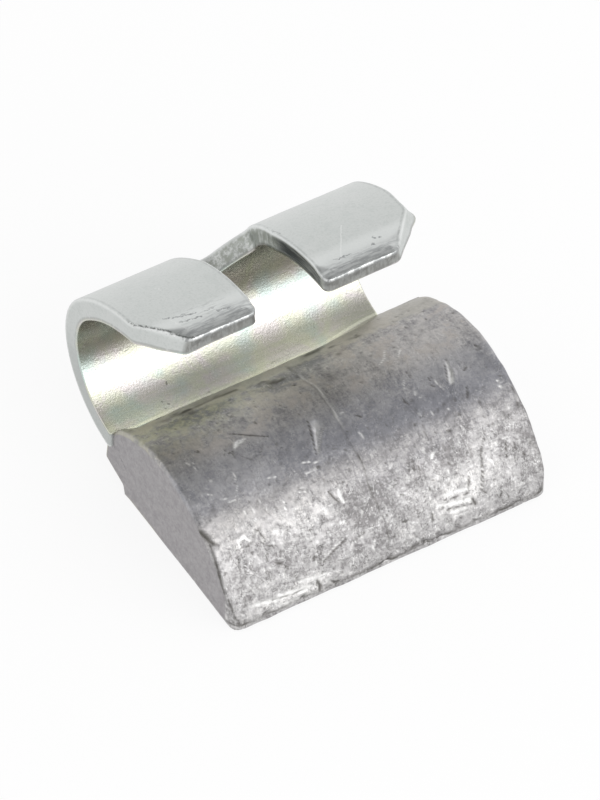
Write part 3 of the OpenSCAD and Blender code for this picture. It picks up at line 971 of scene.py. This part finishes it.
def worn_face(turns, lengths):
    """The rounded face: smooth above, crinkled and scored below, with a mould seam at mid length."""
    r = Relief(turns, lengths)

    def spread(middle, size):
        return np.exp(-(((r.turn - middle[0]) / size[0]) ** 2 + ((r.y - middle[1]) / size[1]) ** 2))

    edge = r.turn + 5 * field(r.arc, r.y, 3.0, 9)
    low = 1 - ease(edge, 38, 60)
    patch = 0.5 + 0.5 * field(r.arc, r.y, 2.4, 10)
    r.height += 0.045 * field(r.arc, r.y, 6.5, 1) + 0.025 * field(r.arc, r.y, 2.4, 2)
    shift = 0.5 * field(r.arc, r.y, 1.1, 22), 0.5 * field(r.arc, r.y, 1.1, 23)
    crease = 1 - np.abs(field(r.arc + shift[0], r.y + shift[1], 1.3, 3)) * 2
    crease2 = 1 - np.abs(field(r.arc + shift[1], r.y * 1.2 + shift[0], 0.62, 4)) * 2
    r.height += (0.008 + 0.022 * low * patch) * crease + (0.005 + 0.024 * low) * crease2
    r.height += (0.004 + 0.016 * low * patch) * field(r.arc, r.y, 0.3, 5)
    r.shine += 0.5
    for middle, size, strength in FACE_PATCHES:
        r.shine += strength * spread(middle, size)
    torn = np.clip(0.35 + field(r.arc + shift[0], (r.y + shift[1]) * 0.5, 0.42, 31) * 1.3, 0, 1)
    for middle, size, strength in FACE_SMUDGES:
        r.dirt += np.minimum(strength * spread(middle, size), 1) * torn
    # Mould seam
    seam = r.y - 0.2 * field(r.arc, r.y * 0, 2.0, 6) - 0.25 * ease(r.turn, 20, 10)
    line = np.exp(-(seam / 0.11) ** 2) * (0.55 + 0.45 * field(r.arc, r.y, 1.2, 7))
    r.height += 0.018 * np.tanh(seam / 0.15) + 0.02 * line * np.where(r.turn > 72, 1, -1)
    r.bright += 1.0 * line * ease(r.turn, 70, 76) * (1 - ease(r.turn, 102, 108))
    seam_dirt = np.exp(-((seam + 0.12) / 0.1) ** 2) * (0.55 + 0.45 * field(r.arc, r.y, 0.9, 17))
    r.dirt += (0.55 + 0.4 * ease(r.turn, 66, 58)) * seam_dirt
    r.dirt += 0.95 * ease(r.turn, 15.6, 14.4) * (0.6 + 0.4 * field(r.arc * 0.5, r.y, 0.9, 33))
    scatter_marks(r)
    for mark in FACE_MARKS:
        r.mark(*mark)
    for path, width, bright in WHITE_TICKS:
        r.mark(path, width, TICK_DEPTH, bright, lip=TICK_DEPTH, blunt=0.5)
    # The top of the casting falls away to the strip
    fall_reach = FALL_R / np.cos(np.radians(np.maximum(r.turn, 110) - FALL_TURN))
    wander = 0.03 * field(r.y * 0, r.y, 1.6, 25) - 0.18 * ease(r.y, 4.0, 7.2) - 0.42 * ease(r.y, 7.4, 11.0)
    wander -= 0.42 * ease(r.y, -14.0, -15.2)
    r.height -= np.maximum(FACE_R - fall_reach + wander, 0) * ease(r.turn, 111, 121)
    r.height -= 0.03 * ease(r.turn, 100, 118) * (1 + field(r.arc, r.y, 1.3, 8)) + 0.12
    r.height = np.minimum(r.height, -0.005)
    return r


def edge_radii(outline, turn_of, y, face_count):
    """Radii of the edges round the near and the far end, for each ring and place of the outline."""
    left_r = 0.3 - 0.2 * ease(turn_of, 124, 138)
    right_r = 0.45 + 0.5 * ease(turn_of, 80, 115) - 0.85 * ease(turn_of, 134, 141.5)
    left_r[face_count:], right_r[face_count:] = 0.3, 0.3
    places = np.arange(len(outline))
    back_limit = lead_low[0] + FACET_DEPTH + STEP_RUN + 0.3
    at_back = (outline[:, 0] < back_limit) & (places >= face_count)
    left_r[at_back], right_r[at_back] = 0.1, 0.1
    edge_r = np.where(y[:, None] < 0, left_r[None], right_r[None])
    uneven = field(places[None] * 0.13 + (y[:, None] > 0) * 60, y[:, None] * 0, 1.0, 61)
    return edge_r * (1 + np.where(at_back, 0, 0.25) * uneven)


def end_rings(rings):
    """Rings of both end faces, drawn in from the edge of each end towards the line across the section."""
    caps = []
    spine_run = SPINE_TO - SPINE_FROM
    for end, sign in ((0, -1), (-1, 1)):
        edge = rings[end][:, [0, 2]]
        share = np.clip((edge - SPINE_FROM) @ spine_run / (spine_run @ spine_run), 0, 1)
        spine = SPINE_FROM + share[:, None] * spine_run
        for t in (CAP_FIRST, *np.arange(1, CAP_RINGS - 1) / CAP_RINGS):
            spot = edge + (spine - edge) * t
            # The dents fade out before the last ring, so that the face inside it is flat
            uneven = 1 - ease(t, 0.5, 0.85)
            dent = 0.03 * (1 + uneven * field(spot[:, 0], spot[:, 1], 2.5, 70 + end)) * ease(t, 0, 0.6)
            dent += 0.01 * (1 + uneven * field(spot[:, 0], spot[:, 1], 0.6, 74 + end)) * ease(t, 0, 0.6)
            caps.append(np.stack([spot[:, 0], sign * (lead_half - dent), spot[:, 1]], 1))
    return caps


def lead_mesh(material):
    """The casting as rings of its section along y, drawn in at the end edges and closed by the end faces."""
    outline = lead_outline()
    normal = outline_normals(outline)
    if (outline[0] - face_centre) @ normal[0] < 0:
        normal = -normal
    count = len(outline)
    face_count = round(FACE_R * (back_angle - nose_lift) / LEAD_SPACING) + 1
    turns = back_angle + (nose_lift - back_angle) * np.arange(face_count) / (face_count - 1)
    ends = np.array(END_SPACING)
    body = np.linspace(-lead_half + ends[-1], lead_half - ends[-1], round(2 * lead_half / LEAD_SPACING))
    y = np.concatenate([-lead_half + ends[:-1], body, (lead_half - ends[:-1])[::-1]])
    relief = worn_face(turns, y)
    push = np.zeros((len(y), count))
    bright, dirt, shine = np.zeros_like(push), np.zeros_like(push), np.full_like(push, 0.5)
    push[:, :face_count] = relief.height
    bright[:, :face_count], dirt[:, :face_count] = relief.bright, relief.dirt
    shine[:, :face_count] = relief.shine
    side = np.arange(count) * BACK_SPACING
    push[:, face_count:] = -0.04 * (1 + field(y[:, None], side[None, face_count:], 1.2, 60))
    push[:, face_count] = push[:, face_count - 1]
    from_end = lead_half - np.abs(y)
    turn_of = np.degrees(np.arctan2(outline[:, 1] - face_centre[1], outline[:, 0] - face_centre[0]))
    edge_r = edge_radii(outline, turn_of, y, face_count)
    depth = np.clip(edge_r - from_end[:, None], 0, None)
    push -= edge_r - np.sqrt(edge_r ** 2 - depth ** 2)
    xz = outline[None] + normal[None] * push[:, :, None]
    top = outline[0] - [lead_low[0], BACK_EDGE_H]
    height_share = np.clip((outline[:, 1] - BACK_EDGE_H) / top[1], 0, 1)
    height_share[:face_count + 8] = 0
    xz += height_share[None, :, None] * (xz[:, :1] - outline[0])
    corner = np.clip(PLAN_CORNER_R - from_end, 0, None)
    x_limit = lead_high[0] - 0.1 - PLAN_CORNER_R + np.sqrt(PLAN_CORNER_R ** 2 - corner ** 2)
    xz[:, :, 0] = np.minimum(xz[:, :, 0], x_limit[:, None])
    xz[:, :, 1] = np.maximum(xz[:, :, 1], 0)
    rings = np.concatenate([xz, np.broadcast_to(y[:, None, None], (*push.shape, 1))], 2)[:, :, [0, 2, 1]]
    caps = end_rings(rings)
    per_cap = len(caps) // 2
    stack = np.concatenate([np.array(caps[:per_cap])[::-1], rings, np.array(caps[per_cap:])])
    levels = len(stack)
    index = np.arange(levels * count).reshape(levels, count)
    ahead = np.roll(index, -1, 1)
    quads = np.stack([index[:-1], ahead[:-1], ahead[1:], index[1:]], -1).reshape(-1, 4)
    rim = np.zeros((per_cap, count))
    end_face = np.concatenate([rim + 1, push * 0, rim + 1])
    masks = {
        "bright": np.concatenate([rim, bright, rim]).ravel(),
        "dirt": np.concatenate([rim, dirt, rim]).ravel(),
        "shine": np.concatenate([rim + 0.5, shine, rim + 0.5]).ravel(),
        "end_face": end_face.ravel(),
        "turn": np.broadcast_to(turn_of[None], (levels, count)).ravel(),
    }
    faces = quads.tolist() + [index[0][::-1].tolist(), index[-1].tolist()]
    piece = make_piece("cast_body", stack.reshape(-1, 3), faces, masks, material)
    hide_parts("lead_body")
    return piece


def lead_finish():
    """Cast lead: dull and smeared above; bright, crinkled and scuffed on the lower half of the face, its
    brightness partly scuffed metal and partly a painted reflection of the pale floor.
    """
    material = bpy.data.materials.new("cast lead")
    p = Paint(material)
    where = p.place()
    names = ("bright", "dirt", "end_face", "turn", "shine")
    bright, dirt, end_face, turn, shine = (p.mask(name) for name in names)
    face = 1 - end_face
    across = p.node("SeparateXYZ", sockets={"Vector": where}, out="Y")
    left = 1 - p.ramp(across, -12.0 * MM, 4.0 * MM)
    unrolled = p.flat(turn * (FACE_R * math.pi / 180 * MM), across)
    mottle = p.noise(where, 2.6, 4.0, 0.6, 0.5)
    blotch = p.noise(where, 0.8, 5.0, 0.7, 0.4)
    fine = p.noise(where, 0.3, 6.0, 0.8, 0.8)
    down = p.noise(p.stretched(p.shaken(unrolled, 1.5, 0.5), (0.2, 1.0, 1.0)), 0.2, 4.0, 0.75)
    slant = p.stretched(p.shaken(unrolled, 1.1, 0.6), (1.0, 0.22, 1.0), (0.0, 0.0, 0.5))
    slant = p.noise(slant, 0.2, 4.0, 0.75)
    grain = p.noise(where, 0.1, 2.0, 0.6)
    lower = (1 - p.ramp(turn + (blotch - 0.5) * 26 + (mottle - 0.5) * 26, 40.0, 62.0)) * face
    rough_patch = 0.4 + p.ramp(p.noise(where, 1.7, 3.0, 0.6, 0.8), 0.42, 0.58) * 0.6
    fibre = ((fine - 0.5) * 0.9 + (down - 0.5) * 0.9 + (slant - 0.5) * 0.8) * rough_patch
    # Dull upper part: smeared in places, never far from one grey
    tone = fibre * 0.6 + (blotch - 0.5) * 0.55 + (mottle - 0.5) * 0.6 + (shine - 0.5) * 0.35 + 0.5
    dull = p.blend(p.ramp(tone, 0.26, 0.74), (0.24, 0.235, 0.245), (0.6, 0.58, 0.565))
    dull = p.blend(p.ramp(mottle, 0.42, 0.6) * 0.3, dull, (0.36, 0.355, 0.375))
    dull = p.blend((1 - p.ramp(shine, 0.05, 0.48)) * 0.75, dull, (0.15, 0.15, 0.165))
    bluish = p.ramp(turn + (blotch - 0.5) * 20, 56.0, 68.0) * (1 - p.ramp(turn, 78.0, 90.0))
    dull = p.blend(bluish * 0.35, dull, (0.31, 0.325, 0.375))
    brownish = p.ramp(mottle + (blotch - 0.5) * 0.5, 0.5, 0.6) * p.ramp(turn, 80.0, 92.0)
    dull = p.blend(brownish * 0.4, dull, (0.5, 0.45, 0.4))
    # Painted reflection of the clip's olive-yellow inside, on the lead next to the clip
    clip_reflection_tint = p.ramp(turn, 86.0, 112.0) * left * p.ramp(blotch + (mottle - 0.5) * 0.6, 0.35, 0.6)
    dull = p.blend(clip_reflection_tint * 0.55, dull, (0.42, 0.425, 0.27))
    # End faces
    plain = p.blend(p.ramp(fine + (blotch - 0.5) * 0.6, 0.3, 0.7), (0.325, 0.31, 0.32), (0.45, 0.435, 0.44))
    p.colour = p.blend(end_face, dull, plain)
    # Bright lower part: scuffed metal, and also a painted reflection of the pale floor in front
    tone = fibre * 0.95 + (blotch - 0.5) * 0.9 + (mottle - 0.5) * 0.5 + (shine - 0.5) * 0.42 + 0.435
    worn_and_sheen = p.blend(p.ramp(tone, 0.2, 0.5), (0.26, 0.25, 0.25), (0.48, 0.47, 0.47))
    worn_and_sheen = p.blend(p.ramp(tone, 0.46, 0.82), worn_and_sheen, (0.85, 0.835, 0.82))
    p.coat(lower * 0.94, worn_and_sheen)
    # Thin cracks and scuffs, along the contours of a noise
    crack = p.contour(p.noise(where, 0.9, 3.0, 0.6, 1.2), 0.5, 0.003, 0.02)
    across_crack = p.noise(p.stretched(unrolled, (0.6, 1.0, 1.0)), 0.7, 3.0, 0.6, 1.5)
    crack = crack.most(p.contour(across_crack, 0.5, 0.003, 0.018))
    crack = crack * p.ramp(p.noise(where, 1.4, 2.0), 0.46, 0.58)
    p.coat(crack * (0.3 + lower * 0.5) * face, (0.11, 0.105, 0.1))
    scuff = p.noise(p.stretched(unrolled, (0.5, 1.0, 1.0)), 0.8, 3.0, 0.6, 1.8)
    scuff = p.contour(scuff, 0.47, 0.002, 0.011) * p.ramp(p.noise(where, 1.2, 2.0), 0.5, 0.6)
    p.coat(scuff * (0.35 + lower * 0.55) * face, (0.95, 0.95, 0.94))
    # Flecks and pits
    chip = p.cells(p.shaken(where, 0.2, 0.2), 0.16, out="Color")
    p.coat(p.ramp(chip, 0.8, 0.86) * (0.08 + lower * 0.18) * face, (0.88, 0.88, 0.88))
    pit = p.ramp(1 - chip, 0.8, 0.86) * (0.15 + lower * 0.2) * (face * 0.7 + 0.3)
    p.coat(pit, (0.15, 0.145, 0.15))
    p.coat(bright * (0.5 + p.ramp(fine, 0.35, 0.5) * 0.5), (0.96, 0.955, 0.94))
    junction = p.ramp(turn + (blotch - 0.5) * 12, 111.0, 115.0) * face
    p.coat(junction * 0.55, (0.5, 0.48, 0.42))
    p.coat(dirt * 0.9, (0.08, 0.075, 0.065))
    roughness = 0.36 + grain * 0.16 - lower * 0.06 + end_face * 0.14 - bright * 0.08
    height = blotch * (1.2 + lower * 2.4) + fibre * (0.5 + lower * 1.3) * face
    height = height + (fine + down * 0.6) * end_face * 0.7
    normal = p.bump(height, 0.035)
    p.surface(Base_Color=p.colour, Metallic=0.86, Roughness=roughness, Normal=normal)
    return material


# Camera, at the photograph's angle
CAMERA_AZIMUTH = math.radians(58.85)
CAMERA_HEIGHT = math.radians(46.93)
CAMERA_DISTANCE = 527.0
CAMERA_TARGET = np.array([-2.16, -0.11, 10.0])
# How far right of and above the picture's middle the target lies, at 12 pixels to a millimetre
TARGET_RIGHT = 21.5 / 12
TARGET_UP = 4.0 / 12
FOCAL_PIXELS = 6324
PICTURE_HEIGHT = 800
SENSOR = 36.0


def add_camera():
    """The camera that sees what the photograph shows."""
    a, e = CAMERA_AZIMUTH, CAMERA_HEIGHT
    back = np.array([math.sin(a) * math.cos(e), -math.cos(a) * math.cos(e), math.sin(e)])
    right = np.array([math.cos(a), math.sin(a), 0.0])
    up = np.cross(back, right)
    eye = CAMERA_TARGET + back * CAMERA_DISTANCE
    aim = CAMERA_TARGET - right * TARGET_RIGHT - up * TARGET_UP
    data = bpy.data.cameras.new("camera")
    data.sensor_width = SENSOR
    data.lens = SENSOR * FOCAL_PIXELS / PICTURE_HEIGHT
    data.clip_start = 0.01
    camera = bpy.data.objects.new("camera", data)
    camera.location = Vector(eye * MM)
    camera.rotation_euler = Vector((aim - eye)).to_track_quat("-Z", "Y").to_euler()
    bpy.context.scene.collection.objects.link(camera)
    bpy.context.scene.camera = camera


def seen_directly(p):
    """1 for rays that look at or mirror the surroundings, 0 for rays that light a surface."""
    camera_ray = p.node("LightPath", out="Is Camera Ray")
    glossy_ray = p.node("LightPath", out="Is Glossy Ray")
    through_ray = p.node("LightPath", out="Is Transmission Ray")
    return camera_ray.most(glossy_ray).most(through_ray)


# Floor, in metres: half its side, and its height just under the object
FLOOR_HALF = 2.0
FLOOR_Z = -0.00002


def add_floor():
    """A pale floor that looks white and keeps a soft shadow."""
    mesh = bpy.data.meshes.new("floor")
    corners = [(x * FLOOR_HALF, y * FLOOR_HALF, FLOOR_Z) for x, y in ((-1, -1), (1, -1), (1, 1), (-1, 1))]
    mesh.from_pydata(corners, [], [(0, 1, 2, 3)])
    material = bpy.data.materials.new("white sweep")
    p = Paint(material)
    lit = p.node("BsdfDiffuse", sockets={"Color": (0.95, 0.95, 0.95, 1.0)})
    glow = p.node("Emission", sockets={"Color": (1.0, 1.0, 1.0, 1.0), "Strength": 1.0})
    shader = p.node("MixShader", sockets={0: seen_directly(p) * 0.86, 1: lit, 2: glow})
    p.node("OutputMaterial", sockets={"Surface": shader})
    mesh.materials.append(material)
    floor = bpy.data.objects.new("floor", mesh)
    bpy.context.scene.collection.objects.link(floor)


def add_world():
    """White surroundings, dimmer overhead."""
    world = bpy.data.worlds.new("studio")
    bpy.context.scene.world = world
    p = Paint(world)
    rise = p.node("SeparateXYZ", sockets={"Vector": p.node("TexCoord", out="Generated")}, out="Z")
    sky = p.blend(p.ramp(rise, 0.62, 1.0), (0.95, 0.95, 0.95), (0.4, 0.4, 0.4))
    colour = p.blend(seen_directly(p), (0.8, 0.8, 0.8), sky)
    back = p.node("Background", sockets={"Color": colour, "Strength": 1.0})
    p.node("OutputWorld", sockets={"Surface": back})


def add_softbox(name, azimuth, height, distance, width, tall, power):
    """A soft lamp that looks at the object; azimuth is from +x towards +y."""
    data = bpy.data.lights.new(name, "AREA")
    data.shape = "RECTANGLE"
    data.size, data.size_y = width, tall
    data.energy = power
    lamp = bpy.data.objects.new(name, data)
    a, e = math.radians(azimuth), math.radians(height)
    direction = Vector((math.cos(a) * math.cos(e), math.sin(a) * math.cos(e), math.sin(e)))
    lamp.location = direction * distance
    lamp.rotation_euler = direction.to_track_quat("Z", "Y").to_euler()
    bpy.context.scene.collection.objects.link(lamp)


clip_mesh(clip_finish())
lead_mesh(lead_finish())
add_camera()
add_floor()
add_world()
add_softbox("soft box", azimuth=25, height=29, distance=0.5, width=0.7, tall=0.5, power=1.5)
bpy.context.scene.view_settings.view_transform = "Standard"
